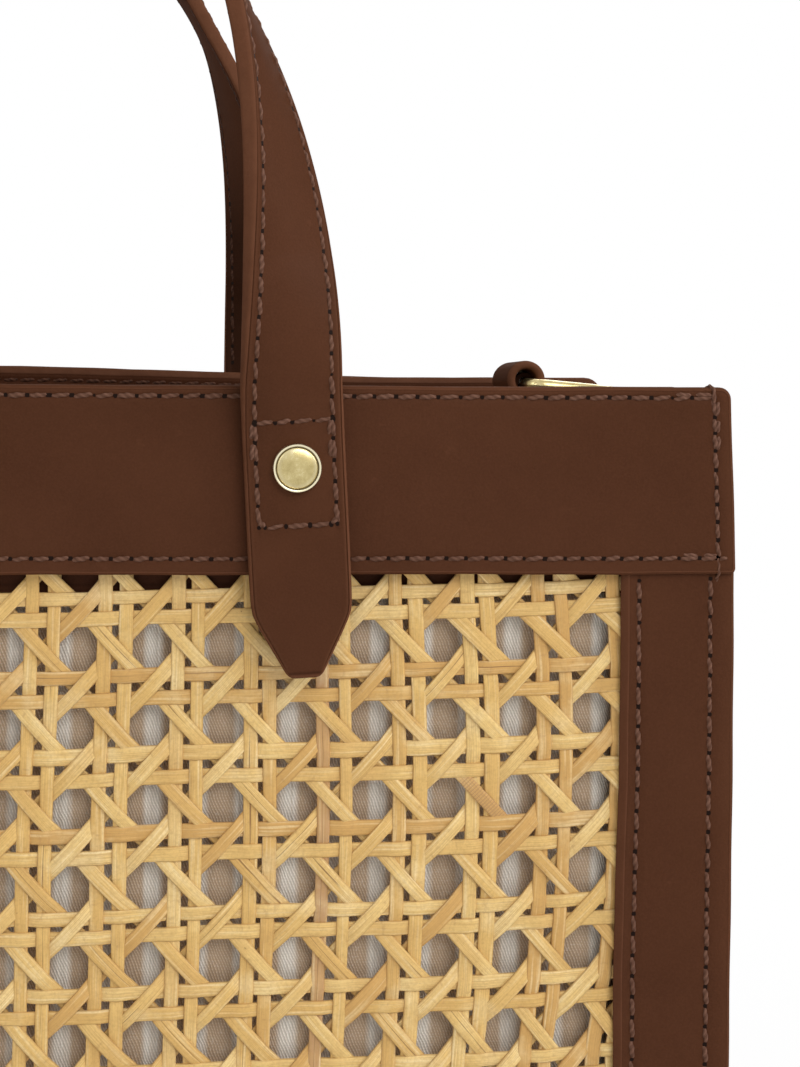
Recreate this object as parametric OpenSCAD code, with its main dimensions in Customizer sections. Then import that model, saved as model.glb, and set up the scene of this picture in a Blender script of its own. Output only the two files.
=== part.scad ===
// Structured box bag: two cane panels framed in leather, joined by folding side gussets
// and a firm base, with a cloth lining, two twisted strap handles and a D-ring at each side.
// Millimetres. Z is up, the front panel faces -Y, and the base stands on Z = 0.

/* [Body] */
// Width across one panel
body_w = 268; // [250:1:284]
// Height from the floor to the top edge
body_h = 190; // [178:1:192]
// Depth between the back faces of the front and rear frames
body_d = 110; // [100:1:130]
// Thickness of the leather in the borders, gussets and base
leather_t = 1.4; // [1:0.1:1.8]
// Width of the seam where a gusset lies behind a panel
seam_w = 8; // [7:0.5:10]
// Thickness of the board that stiffens the base
board_t = 2; // [1.5:0.1:3]

/* [Top band] */
// Height of the band along the top edge
band_h = 38; // [36:0.5:42]
// Thickness of the band
band_t = 2.6; // [2:0.1:3]
// Radius of the band's top corners
band_r = 2.4; // [1.5:0.1:4]
// How far the band stands past the side borders
band_over = 0.4; // [0.2:0.1:0.8]
// How far the cane reaches up behind the band
cane_tuck = 12; // [10:0.5:13]

/* [Borders] */
// Width of the side borders
border_w = 22.5; // [21:0.5:24]
// Height of the bottom border
bottom_h = 18; // [17:0.5:20]
// How far the cane reaches behind the borders
border_tuck = 8; // [6:0.5:9]

/* [Cane] */
// Distance from one gap to the next along a row
cell_w = 15; // [14.8:0.1:16]
// Distance from one gap to the next down a column
cell_h = 16; // [15.8:0.1:17]
// Width of a strand
strand_w = 2.9; // [2.5:0.1:3.1]
// Thickness of a strand
strand_t = 0.8; // [0.6:0.05:1]
// Distance between the centres of two paired strands
pair_w = 4.5; // [4.2:0.1:4.8]
// Drop from the band to the middle of the first row of gaps
row_drop = 14.4; // [13:0.2:16]

/* [Gussets] */
// How far the fold of a gusset reaches inwards at the top
fold_in = 24.7; // [20:0.5:28]
// Width of the flat at the bottom of the fold
fold_flat = 18; // [17:0.5:20]
// Height where the fold starts
fold_start = 60; // [40:1:80]
// How far a gusset's top edge lies below the bag's top edge
gusset_drop = 3.2; // [3.2:0.1:4]

/* [Lining] */
// Thickness of the lining cloth
lining_t = 1.2; // [0.8:0.1:1.6]
// Space between the cane and the lining
lining_gap = 2.4; // [1.6:0.2:6]
// Half the width of the lining at its widest
lining_half_w = 115; // [108:0.5:116]
// Radius of the lining's upright corners
lining_r = 13; // [10:0.5:16]

/* [Handles] */
// Width of a handle strap
strap_w = 20; // [18:0.5:22]
// Thickness of a handle strap
strap_t = 3.6; // [3:0.1:4.2]
// Distance between the two ends of a handle
handle_span = 90; // [80:1:110]
// Height of a handle above the top edge
handle_rise = 115; // [95:1:125]
// Height over which a strap turns edge on
twist_rise = 84; // [65:1:90]
// Reach of a handle's end below the top edge
tab_drop = 59; // [55:0.5:63]
// Length of the taper at a handle's end
tab_taper = 14; // [11:0.5:16]
// Width of a handle's blunt tip
tab_tip_w = 7.5; // [6:0.5:10]

/* [Studs] */
// Diameter of a stud's head
stud_d = 10; // [8:0.5:12]
// Height of a stud's head
stud_h = 1.6; // [1.2:0.1:2.2]
// Diameter of a stud's post
post_d = 4; // [3:0.1:4.5]
// Radial play round a stud's post
post_play = 0.1; // [0.05:0.05:0.2]
// Drop of the studs below the top edge
stud_drop = 16.6; // [15:0.2:18]

/* [Rings] */
// Diameter of the ring wire
wire_d = 2.8; // [2.4:0.1:3.2]
// Clear width inside a ring
ring_w = 20; // [18.4:0.2:22]
// Straight length of a ring's sides before the curve
ring_side = 9; // [7:0.5:12]
// Slope of a ring at rest, in degrees
ring_slope = 5; // [4:0.5:6]
// Inner radius of a ring loop
loop_r = 2.6; // [2.3:0.05:2.8]
// Thickness of a ring loop's leather
loop_t = 1.9; // [1.4:0.1:2.2]
// Width of a ring loop
loop_w = 14; // [12:0.5:14.5]
// Length of a ring loop's tails
loop_tail = 20; // [16:0.5:21]
// Play between a ring's wire and its loop
ring_play = 0.3; // [0.25:0.05:0.35]

/* [Hidden] */
$fn = 48;

LEATHER = [0.31, 0.18, 0.13];
LEATHER_DARK = [0.24, 0.14, 0.10];
CANE = [0.80, 0.66, 0.45];
CLOTH = [0.80, 0.78, 0.74];
BOARD = [0.55, 0.50, 0.44];
BRASS = [0.80, 0.71, 0.46];

// The panel plane: borders and band in front of it, cane, facing and flanges behind it
panel_y = body_d / 2;
half_w = body_w / 2;
window_w = body_w - 2 * border_w;
window_top = body_h - band_h;

// Cane: gaps in columns centred on X = 0 and in rows counted down from the band
cane_t = 3 * strand_t;
cane_half_w = window_w / 2 + border_tuck;
cane_top = window_top + cane_tuck;
cane_bottom = bottom_h - border_tuck;
gap_x = cell_w / 2 - pair_w / 2 - strand_w / 2;
gap_z = cell_h / 2 - pair_w / 2 - strand_w / 2;
cell_diag = norm([cell_w / 2, cell_h / 2]);
gap_reach = cell_w * cell_h / 4 - strand_w / 2 * cell_diag;
gap_a = (gap_reach - gap_x * cell_h / 2) / (cell_w / 2);
gap_b = (gap_reach - gap_z * cell_w / 2) / (cell_h / 2);
columns = floor((window_w - 2 * gap_x) / cell_w) + 1;
rows = floor((window_top - bottom_h - row_drop - gap_z) / cell_h) + 1;
diag_angle = atan(cell_h / cell_w);
ridge_w = strand_w - 0.2;
ridge_over = 0.1;

// Facing: the inner layer of the top band, level with the back of the cane
facing_t = cane_t;
facing_h = band_h - cane_tuck - 0.5;
facing_clear = 1.5;
facing_half_w = half_w - seam_w - facing_clear;
inner_y = panel_y - facing_t;

// Gussets
wall_x = half_w - seam_w + leather_t / 2;
gusset_top = body_h - gusset_drop;
fold_drop = 30;
fold_top = body_h - fold_drop;
fold_half = fold_flat / 2;
wall_y = panel_y - leather_t / 2;
flange_bottom = 0.5;
flange_drop = 2.8;
flange_top = gusset_top - flange_drop;

// Lining
lining_tuck = 16;
lining_top = window_top + lining_tuck;
lining_lap = lining_top - 6;
lining_bottom = leather_t + board_t + 0.2;
lining_clear = 2;
lining_flare = 20;

// Handles
strap_y = panel_y + band_t + strap_t / 2;
arch_a = handle_span / 2;
stud_z = body_h - stud_drop;
hole_r = post_d / 2 + post_play;
back_t = 1.6;
back_r = post_d / 2 + 2.5;

// Rings
wire_r = wire_d / 2;
loop_x = wall_x - fold_in;
loop_z = body_h + 0.1;
bar_off = loop_r - wire_r - ring_play;
bar_x = loop_x + bar_off * 0.55;
bar_z = loop_z - bar_off * 0.835;
ring_half = ring_w / 2 + wire_r;
ring_corner = 3;

function fold_at(z) = fold_in * min(1, max(0, (z - fold_start) / (fold_top - fold_start)));

function wall_mid(y, z) =
    wall_x - fold_at(z) * min(1, max(0, (wall_y - abs(y)) / (wall_y - fold_half)));

// Heights from the start of the fold up to z, close enough for a smooth twist
function fold_levels(z) = [for (k = [0 : 8]) fold_start + (z - fold_start) * k / 8];

function mix(a, b, t) = a + (b - a) * min(1, max(0, t));

function reverse(v) = [for (i = [len(v) - 1 : -1 : 0]) v[i]];

// Draws 2D shapes as sheets whose back lies at y, t thick towards -Y
module sheet_front(y, t) {
    translate([0, y, 0])
        rotate([90, 0, 0])
            linear_extrude(height = t)
                children();
}

module to_rear() {
    mirror([0, 1, 0])
        children();
}

module to_left() {
    mirror([1, 0, 0])
        children();
}

// Cane panel: one sheet with gaps, and the crossing diagonals as ridges on both faces
function gap_points(x, z) = [
    [x + gap_x, z + gap_a], [x + gap_b, z + gap_z],
    [x - gap_b, z + gap_z], [x - gap_x, z + gap_a],
    [x - gap_x, z - gap_a], [x - gap_b, z - gap_z],
    [x + gap_b, z - gap_z], [x + gap_x, z - gap_a]
];

function column_x(i) = (i - (columns - 1) / 2) * cell_w;

function row_z(j) = window_top - row_drop - j * cell_h;

module cane_sheet() {
    outline = [
        [-cane_half_w, cane_bottom], [cane_half_w, cane_bottom],
        [cane_half_w, cane_top], [-cane_half_w, cane_top]
    ];
    gaps = [for (i = [0 : columns - 1], j = [0 : rows - 1]) gap_points(column_x(i), row_z(j))];
    points = concat(outline, [for (g = gaps, p = g) p]);
    holes = [for (k = [0 : len(gaps) - 1]) [for (n = [0 : 7]) 4 + 8 * k + n]];
    polygon(points, concat([[0, 1, 2, 3]], holes));
}

// Ridges over the upright pairs, beside each gap, at the given slope
module upright_ridges(angle) {
    length = 2 * (gap_z + 0.2) / sin(diag_angle);
    for (i = [0 : columns], j = [0 : rows - 1])
        translate([column_x(i) - cell_w / 2, row_z(j)])
            rotate(angle)
                square([length, ridge_w], center = true);
}

// Ridges over the level pairs, above and below each gap, at the given slope
module level_ridges(angle) {
    length = 2 * (gap_x + 0.2) / cos(diag_angle);
    for (i = [0 : columns - 1], j = [0 : rows])
        translate([column_x(i), row_z(j) + cell_h / 2])
            rotate(angle)
                square([length, ridge_w], center = true);
}

module cane_panel() {
    sheet_front(-panel_y + 2 * strand_t, strand_t)
        cane_sheet();
    sheet_front(-panel_y + strand_t + ridge_over, strand_t + ridge_over) {
        upright_ridges(-diag_angle);
        level_ridges(diag_angle);
    }
    sheet_front(-panel_y + 3 * strand_t, strand_t + ridge_over) {
        upright_ridges(diag_angle);
        level_ridges(-diag_angle);
    }
}

module front_cane_panel() {
    color(CANE)
        cane_panel();
}

module rear_cane_panel() {
    color(CANE)
        to_rear()
            cane_panel();
}

// Top band and its facing, both pierced for the stud posts
module stud_holes(r) {
    for (side = [-1, 1])
        translate([side * arch_a, stud_z])
            circle(r);
}

module band_outline() {
    half = half_w + band_over;
    translate([-half, window_top])
        square([2 * half, band_h - band_r]);
    translate([-half + band_r, window_top])
        square([2 * (half - band_r), band_h]);
    for (side = [-1, 1])
        translate([side * (half - band_r), body_h - band_r])
            circle(band_r);
}

module top_band() {
    sheet_front(-panel_y, band_t)
        difference() {
            band_outline();
            stud_holes(hole_r);
        }
}

module front_top_band() {
    color(LEATHER)
        top_band();
}

module rear_top_band() {
    color(LEATHER)
        to_rear()
            top_band();
}

module band_facing() {
    sheet_front(-panel_y + facing_t, facing_t)
        difference() {
            translate([-facing_half_w, body_h - facing_h])
                square([2 * facing_half_w, facing_h]);
            stud_holes(hole_r);
        }
}

module front_band_facing() {
    color(LEATHER_DARK)
        band_facing();
}

module rear_band_facing() {
    color(LEATHER_DARK)
        to_rear()
            band_facing();
}

// Borders beside and below the window
module side_border() {
    sheet_front(-panel_y, leather_t)
        translate([half_w - border_w, 0])
            square([border_w, window_top]);
}

module front_left_border() {
    color(LEATHER)
        to_left()
            side_border();
}

module front_right_border() {
    color(LEATHER)
        side_border();
}

module rear_left_border() {
    color(LEATHER)
        to_rear()
            to_left()
                side_border();
}

module rear_right_border() {
    color(LEATHER)
        to_rear()
            side_border();
}

module bottom_border() {
    sheet_front(-panel_y, leather_t)
        translate([-window_w / 2, 0])
            square([window_w, bottom_h]);
}

module front_bottom_border() {
    color(LEATHER)
        bottom_border();
}

module rear_bottom_border() {
    color(LEATHER)
        to_rear()
            bottom_border();
}

// A gusset: a wall that folds inwards towards the top, with a flange behind each panel
function wall_line(z, dx) = [
    for (y = [-wall_y, -fold_half, fold_half, wall_y]) [wall_mid(y, z) + dx, y, z]
];

function wall_ring(z) =
    concat(wall_line(z, leather_t / 2), reverse(wall_line(z, -leather_t / 2)));

module gusset_wall() {
    levels = concat([0], fold_levels(fold_top), [gusset_top]);
    n = 8;
    m = len(levels) - 1;
    points = [for (z = levels, p = wall_ring(z)) p];
    sides = [
        for (k = [0 : m - 1], i = [0 : n - 1], half = [0, 1])
            let (a = k * n + i, b = k * n + (i + 1) % n)
                half == 0 ? [a, a + n, b + n] : [a, b + n, b]
    ];
    bottom = [for (i = [0 : 2]) [i, i + 1, n - 2 - i, n - 1 - i]];
    top = [for (f = bottom) [for (v = reverse(f)) v + m * n]];
    polyhedron(points, concat(sides, bottom, top));
}

module gusset_flange() {
    sheet_front(-panel_y + leather_t, leather_t)
        translate([half_w - seam_w, flange_bottom])
            square([seam_w, flange_top - flange_bottom]);
}

module gusset() {
    gusset_wall();
    gusset_flange();
    to_rear()
        gusset_flange();
}

module left_gusset() {
    color(LEATHER)
        to_left()
            gusset();
}

module right_gusset() {
    color(LEATHER)
        gusset();
}

// Base: leather turned up behind the bottom borders, with a board on it
module base_panel() {
    color(LEATHER) {
        translate([-half_w + seam_w, -panel_y, 0])
            cube([body_w - 2 * seam_w, body_d, leather_t]);
        for (side = [0, 1])
            mirror([0, side, 0])
                translate([-half_w + seam_w, -panel_y, 0])
                    cube([body_w - 2 * seam_w, leather_t, cane_bottom - 1]);
    }
}

module base_board() {
    edge = seam_w + 3;
    color(BOARD)
        translate([-half_w + edge, -panel_y + leather_t + 1, leather_t])
            cube([body_w - 2 * edge, body_d - 2 * leather_t - 2, board_t]);
}

// Lining: a cloth pouch that hangs from the facings and narrows beside the folded gussets
function lining_half_y(z) =
    inner_y - 0.1 - mix(lining_gap, 0, (z - lining_lap + lining_flare) / lining_flare);

function lining_quarter(z, inset) =
    let (
        hy = lining_half_y(z) - inset,
        hx = lining_half_w - inset,
        r = lining_r,
        arc = [for (a = [0 : 15 : 90]) [hx - r + r * sin(a), -(hy - r) - r * cos(a)]],
        side = [for (y = [-(hy - r) * 0.7, -(hy - r) * 0.45, -fold_half, 0]) [hx, y]],
        plain = concat([[0, -hy], [hx * 0.5, -hy]], arc, side)
    )
    [for (p = plain) [min(p[0], wall_mid(p[1], z) - lining_clear - inset), p[1]]];

function lining_ring(z, inset, at) =
    let (
        q = lining_quarter(z, inset),
        n = len(q),
        fr = [for (i = [0 : n - 2]) q[i]],
        br = [for (i = [n - 1 : -1 : 1]) [q[i][0], -q[i][1]]],
        bl = [for (i = [0 : n - 2]) [-q[i][0], -q[i][1]]],
        fl = [for (i = [n - 1 : -1 : 1]) [-q[i][0], q[i][1]]]
    )
    [for (p = concat(fr, br, bl, fl)) [p[0], p[1], at]];

module lining_pouch() {
    levels = concat(
        [lining_bottom], fold_levels(lining_lap - lining_flare), [lining_lap, lining_top]
    );
    m = len(levels) - 1;
    n = len(lining_ring(0, 0, 0));
    outer = [for (z = levels, p = lining_ring(z, 0, z)) p];
    inner = [
        for (k = [0 : m], p = lining_ring(levels[k], lining_t, levels[k] + (k == 0 ? lining_t : 0))) p
    ];
    q = n * (m + 1);
    outer_sides = [
        for (k = [0 : m - 1], i = [0 : n - 1], half = [0, 1])
            let (a = k * n + i, b = k * n + (i + 1) % n)
                half == 0 ? [a, a + n, b + n] : [a, b + n, b]
    ];
    inner_sides = [for (f = outer_sides) [for (v = reverse(f)) v + q]];
    rim = [
        for (i = [0 : n - 1], half = [0, 1])
            let (a = m * n + i, b = m * n + (i + 1) % n)
                half == 0 ? [a, a + q, b + q] : [a, b + q, b]
    ];
    middles = [[0, 0, lining_bottom], [0, 0, lining_bottom + lining_t]];
    floor_out = [for (i = [0 : n - 1]) [2 * q, i, (i + 1) % n]];
    floor_in = [for (i = [0 : n - 1]) [2 * q + 1, (i + 1) % n + q, i + q]];
    color(CLOTH)
        polyhedron(
            concat(outer, inner, middles),
            concat(outer_sides, inner_sides, rim, floor_out, floor_in)
        );
}

// Handles: two flat ends on the band, joined by an arch that turns edge on
function arch_frame(t) =
    let (
        c = cos(t),
        s = sin(t),
        n = norm([arch_a * s, handle_rise * c]),
        along = [-arch_a * s, 0, handle_rise * c] / n,
        out = [handle_rise * c, 0, arch_a * s] / n,
        turn = 90 * pow(min(1, handle_rise * s / twist_rise), 0.9),
        face = cos(turn) * [0, -1, 0] + sin(turn) * out
    )
    [[arch_a * c, -strap_y, body_h + handle_rise * s], cross(along, face), face];

function strap_ring(t) =
    let (f = arch_frame(t), u = strap_w / 2, v = strap_t / 2)
    [
        for (p = [[u, v], [-u, v], [-u, -v], [u, -v]])
            f[0] - p[0] * f[1] + p[1] * f[2]
    ];

module strap_arch() {
    steps = 60;
    n = 4;
    points = [for (k = [0 : steps], p = strap_ring(180 * k / steps)) p];
    sides = [
        for (k = [0 : steps - 1], i = [0 : n - 1], half = [0, 1])
            let (a = k * n + i, b = k * n + (i + 1) % n)
                half == 0 ? [a, a + n, b + n] : [a, b + n, b]
    ];
    ends = [[0, 1, 2, 3], [for (i = [3 : -1 : 0]) steps * n + i]];
    polyhedron(points, concat(sides, ends));
}

module strap_end() {
    u = strap_w / 2;
    w = tab_tip_w / 2;
    tip = body_h - tab_drop;
    half = [[u, body_h + 0.2], [u, tip + tab_taper], [w + 0.6, tip + 1.4], [w - 1, tip]];
    polygon(concat(half, [for (p = reverse(half)) [-p[0], p[1]]]));
}

module handle() {
    strap_arch();
    sheet_front(-panel_y - band_t, strap_t)
        difference() {
            for (side = [-1, 1])
                translate([side * arch_a, 0])
                    strap_end();
            stud_holes(hole_r);
        }
}

module front_handle() {
    color(LEATHER)
        handle();
}

module rear_handle() {
    color(LEATHER)
        to_rear()
            handle();
}

// Studs: a head on the strap, a post through all layers and a disc inside
module at_studs() {
    for (side = [-1, 1], rear = [0, 1])
        mirror([0, rear, 0])
            translate([side * arch_a, -inner_y, stud_z])
                rotate([90, 0, 0])
                    children();
}

module stud() {
    face = facing_t + band_t + strap_t;
    r = stud_d / 2;
    rotate_extrude()
        polygon([
            [0, -back_t], [post_d / 2, -back_t], [post_d / 2, face], [r, face],
            [r, face + stud_h * 0.45], [r - stud_h * 0.45, face + stud_h * 0.9],
            [r - stud_h * 0.8, face + stud_h], [0, face + stud_h]
        ]);
}

module handle_studs() {
    color(BRASS)
        at_studs()
            stud();
}

module stud_backs() {
    color(BRASS)
        at_studs()
            translate([0, 0, -back_t])
                difference() {
                    cylinder(h = back_t, r = back_r);
                    translate([0, 0, -1])
                        cylinder(h = back_t + 2, r = hole_r);
                }
}

// Ring loops: a strip folded round the ring's bar, its tails on both sides of the gusset
module ring_loop() {
    gap = leather_t / 2;
    translate([loop_x, 0, loop_z])
        difference() {
            union() {
                rotate([90, 0, 0])
                    cylinder(h = loop_w, r = loop_r + loop_t, center = true);
                for (side = [-1, 1])
                    translate([side * (gap + loop_t / 2), 0, -loop_tail / 2])
                        cube([loop_t, loop_w, loop_tail], center = true);
            }
            rotate([90, 0, 0])
                cylinder(h = loop_w + 2, r = loop_r, center = true);
            translate([-gap, -loop_w, -loop_tail - 1])
                cube([2 * gap, 2 * loop_w, loop_tail + 1]);
        }
}

module left_ring_loop() {
    color(LEATHER_DARK)
        to_left()
            ring_loop();
}

module right_ring_loop() {
    color(LEATHER_DARK)
        ring_loop();
}

// Rings: a straight bar through the loop, two sides and a half round
module ring_bend(from, r, turn) {
    rotate([0, 0, from])
        rotate_extrude(angle = turn)
            translate([r, 0])
                circle(wire_r);
}

module d_ring() {
    straight = 2 * (ring_half - ring_corner);
    rotate([90, 0, 0])
        cylinder(h = straight, r = wire_r, center = true);
    for (side = [0, 1])
        mirror([0, side, 0]) {
            translate([ring_corner, -ring_half + ring_corner, 0])
                ring_bend(180, ring_corner, 90);
            translate([ring_corner, -ring_half, 0])
                rotate([0, 90, 0])
                    cylinder(h = ring_side - ring_corner, r = wire_r);
        }
    translate([ring_side, 0, 0])
        ring_bend(-90, ring_half, 180);
}

module ring_at_rest() {
    translate([bar_x, 0, bar_z])
        rotate([0, ring_slope, 0])
            d_ring();
}

module left_ring() {
    color(BRASS)
        to_left()
            ring_at_rest();
}

module right_ring() {
    color(BRASS)
        ring_at_rest();
}

front_cane_panel();
rear_cane_panel();
front_top_band();
rear_top_band();
front_band_facing();
rear_band_facing();
front_left_border();
front_right_border();
rear_left_border();
rear_right_border();
front_bottom_border();
rear_bottom_border();
left_gusset();
right_gusset();
base_panel();
base_board();
lining_pouch();
front_handle();
rear_handle();
handle_studs();
stud_backs();
left_ring_loop();
right_ring_loop();
left_ring();
right_ring();
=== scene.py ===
import math

import bmesh
import bpy
import numpy as np
from mathutils import Matrix, Vector


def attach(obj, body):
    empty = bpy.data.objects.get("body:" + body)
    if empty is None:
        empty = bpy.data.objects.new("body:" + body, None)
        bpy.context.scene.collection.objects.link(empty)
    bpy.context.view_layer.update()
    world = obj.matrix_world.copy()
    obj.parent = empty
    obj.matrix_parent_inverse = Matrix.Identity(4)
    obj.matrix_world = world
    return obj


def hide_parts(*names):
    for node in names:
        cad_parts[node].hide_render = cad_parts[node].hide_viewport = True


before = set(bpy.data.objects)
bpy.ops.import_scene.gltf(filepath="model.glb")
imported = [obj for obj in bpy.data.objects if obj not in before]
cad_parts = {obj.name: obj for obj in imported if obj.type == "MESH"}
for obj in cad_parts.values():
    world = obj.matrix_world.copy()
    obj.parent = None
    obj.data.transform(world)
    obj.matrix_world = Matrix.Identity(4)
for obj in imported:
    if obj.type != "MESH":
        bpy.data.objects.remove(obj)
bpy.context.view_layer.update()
rng = np.random.default_rng(11)

# Sizes in millimetres, as the solids have them
MM = 0.001  # in metres
TOP = 190.0
PANEL = 55.0
BAND = dict(x=134.4, z0=152.0, face=57.6)
FACING = dict(x=124.5, z0=164.5, face=52.6)
BORDER = dict(x0=111.5, x1=135.0, face=56.4)
BOTTOM_H = 18.0
# The strip behind the half row of gaps under the band, and its face and back; cut from the darker inner
# leather, it also paints the shade under the band
SHADED_BACKING, SHADED_BACKING_Y = (-118.0, 118.0, 147.5, 164.3), (52.5, 51.95)
CELL_X, CELL_Z, ROW_TOP, PAIR, STRAND = 15.0, 16.0, 137.6, 4.5, 2.9
STRAP_HALF, STRAP_T, STRAP_MID, STITCH_IN = 10.2, 1.8, 59.4, 2.4
TAB_TIP, TAB_TAPER, TIP_HALF = 131.9, 144.8, 3.3
STUD_X, STUD_Y, STUD_Z = 44.7, 61.15, 173.8
STRIPE, WHITE_FROM = 9.22, 4.95
# Stitch lines on the borders, how far in they lie on the band, and their depth below a face
SEAM_OUT, SEAM_IN, SEAM_LOW, SEAM_HIGH = 129.9, 115.1, 3.6, 14.4
BAND_END_IN, BAND_LOW_IN, BAND_TOP_IN, SEAM_DEPTH = 3.7, 3.3, 2.1, 0.17
# Cane: the middle of the weave, a strand's thickness and the window that the strands are cut to
CANE_MID, STRAND_T, CANE_HALF, CANE_LOW, CANE_HIGH = 53.85, 0.62, 117.5, 12.0, 160.0
SPLIT, LINED = 0.5, 1.0
# Gussets: wall, flange, half thickness, depth of the fold and the width that it slopes over
WALL_X, FLANGE_Y, GUSSET_HALF, FOLD_IN, FOLD_SPAN = 126.7, 54.3, 0.7, 24.7, 45.3
FOLD_Z, FOLD_SHARE = [0, 40, 60, 80, 140, 160, 176, 190], [0, 0, 0.01, 0.2, 0.79, 0.975, 1, 1]
# Where a flange turns off the wall, where it ends, and the notch at its top
BEND_X, FLANGE_X, NOTCH_X, NOTCH_Z = 127.3, 133.7, 127.4, 184.2
# Rings: hinge, wire and slope at rest; loops: turn and drop of their top
RING_X, RING_Z, WIRE_R, RING_SLOPE = 102.495, 189.3485, 1.4, 5
LOOP_TURN, LOOP_DROP = 5.0, 0.045
BASE_X, BASE_Y, BASE_T, BASE_SEAM = 125.9, 54.9, 1.4, 3.2
FRONT, REAR = -1.0, 1.0
NAMES = {FRONT: "front", REAR: "rear"}
ENDS = ((1.0, "right"), (-1.0, "left"))
TURN = 6.283  # radians


# Meshes

class Shape:
    """Vertices, faces, texture coordinates, a mask and a tint, gathered for one piece."""

    def __init__(self):
        self.v, self.f, self.uv, self.mask, self.tint = [], [], [], [], []
        self.n = 0

    def add(self, v, faces, uv=None, mask=0.0, tint=0.5):
        v = np.asarray(v, float).reshape(-1, 3)
        k = len(v)
        self.v.append(v)
        self.f += [[i + self.n for i in face] for face in faces]
        self.uv.append(np.zeros((k, 2)) if uv is None else np.asarray(uv, float).reshape(-1, 2))
        for field, value in ((self.mask, mask), (self.tint, tint)):
            field.append(np.broadcast_to(np.asarray(value, float).ravel(), (k,)))
        self.n += k


def grid_faces(n, m, closed=True):
    i, j = np.meshgrid(np.arange(n - 1), np.arange(m if closed else m - 1), indexing="ij")
    k = (j + 1) % m
    return np.stack([i * m + j, i * m + k, (i + 1) * m + k, (i + 1) * m + j], -1).reshape(-1, 4).tolist()


def end_faces(n, m):
    """The faces that close both ends of n rings of m points."""
    return [list(range(m)), [(n - 1) * m + k for k in range(m)]]


def put(name, data):
    obj = bpy.data.objects.new(name, data)
    bpy.context.collection.objects.link(obj)
    return obj


def make(name, shape, look, replaces=(), body="bag", sharp=None):
    """Turns a shape into a piece of the part. A look is a material."""
    mesh = bpy.data.meshes.new(name)
    mesh.from_pydata((np.concatenate(shape.v) * MM).tolist(), [], shape.f)
    index = np.empty(len(mesh.loops), np.int32)
    mesh.loops.foreach_get("vertex_index", index)
    layer = mesh.uv_layers.new(name="UVMap")
    layer.data.foreach_set("uv", np.concatenate(shape.uv)[index].astype(np.float32).ravel())
    for label, field in (("mask", shape.mask), ("tint", shape.tint)):
        data = mesh.attributes.new(label, "FLOAT", "POINT").data
        data.foreach_set("value", np.concatenate(field).astype(np.float32))
    bm = bmesh.new()
    bm.from_mesh(mesh)
    bmesh.ops.recalc_face_normals(bm, faces=bm.faces)
    bm.to_mesh(mesh)
    bm.free()
    mesh.shade_smooth()
    if sharp:
        mesh.set_sharp_from_angle(angle=math.radians(sharp))
    mesh.materials.append(look[0])
    obj = put(name, mesh)
    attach(obj, body)
    if replaces:
        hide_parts(*replaces)
    return obj


def out_to(side, p):
    """Panel coordinates (x, distance out from the middle, z) to the bag's frame."""
    return np.asarray(p, float) * np.array([1.0, side, 1.0])


def unit(v):
    return v / np.maximum(np.linalg.norm(v, axis=-1, keepdims=True), 1e-9)


def past(a, b, over):
    """How far a is past b, as a share of a width, kept from 0 to 1."""
    return np.clip((a - b) / over, 0, 1)


def lengths(p):
    """The distance along a path at each of its points."""
    return np.r_[0, np.cumsum(np.linalg.norm(np.diff(p, axis=0), axis=1))]


def heading(p):
    return unit(np.gradient(p, axis=0))


def pick(t, s, p):
    """The points of a path at the distances t, where s is the distance at each of its own."""
    return np.stack([np.interp(t, s, column) for column in p.T], 1)


def resample(points, step):
    p = np.asarray(points, float)
    s = lengths(p)
    return pick(np.linspace(0, s[-1], max(2, int(round(s[-1] / step)) + 1)), s, p)


def soften(p, rounds):
    for _ in range(rounds):
        p = np.concatenate([p[:1], 0.25 * p[:-2] + 0.5 * p[1:-1] + 0.25 * p[2:], p[-1:]])
    return p


def circle(n):
    return np.linspace(0, 2 * np.pi, n + 1)[:-1]


def sweep(shape, centre, across, out, section, mask=0.0, closed=False):
    """Carries a section of (across, out) points along a path."""
    if section.ndim == 2:
        section = np.broadcast_to(section, (len(centre),) + section.shape)
    v = centre[:, None] + section[..., 0:1] * across[:, None] + section[..., 1:2] * out[:, None]
    n, m = v.shape[:2]
    faces = grid_faces(n, m)
    if closed:
        faces += [[(n - 1) * m + j, (n - 1) * m + (j + 1) % m, (j + 1) % m, j] for j in range(m)]
    else:
        faces += end_faces(n, m)
    uv = np.stack(np.broadcast_arrays(np.linspace(0, 1, m)[None], lengths(centre)[:, None] * 0.1), -1)
    shape.add(v, faces, uv, np.broadcast_to(mask, (n, m)))


# Materials

def material(name):
    """A new material, its tree, its shader and the place of a point on the object."""
    m = bpy.data.materials.new(name)
    m.use_nodes = True
    t = m.node_tree
    return m, t, t.nodes["Principled BSDF"], node(t, "TexCoord").outputs["Object"]


def node(tree, kind, links=None, **values):
    n = tree.nodes.new("ShaderNode" + kind)
    for key, value in values.items():
        if hasattr(n, key) and key not in n.inputs:
            setattr(n, key, value)
        else:
            n.inputs[key].default_value = value
    for key, source in (links or {}).items():
        tree.links.new(source, n.inputs[key])
    return n


def math_node(operation, a, b=None, clamp=False):
    """Works on one or two values. The first that is a socket says which tree."""
    tree = (b if isinstance(a, (int, float)) else a).id_data
    n = tree.nodes.new("ShaderNodeMath")
    n.operation, n.use_clamp = operation, clamp
    for k, value in enumerate((a, b)):
        if isinstance(value, (int, float)):
            n.inputs[k].default_value = value
        elif value is not None:
            tree.links.new(value, n.inputs[k])
    return n.outputs[0]


def times(a, b, clamp=False):
    return math_node("MULTIPLY", a, b, clamp)


def plus(a, b):
    return math_node("ADD", a, b)


def noise(where, scale, detail, **more):
    return node(where.id_data, "TexNoise", {"Vector": where}, Scale=scale, Detail=detail, **more).outputs[0]


def attribute(tree, name):
    return node(tree, "Attribute", attribute_name=name).outputs["Fac"]


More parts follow.
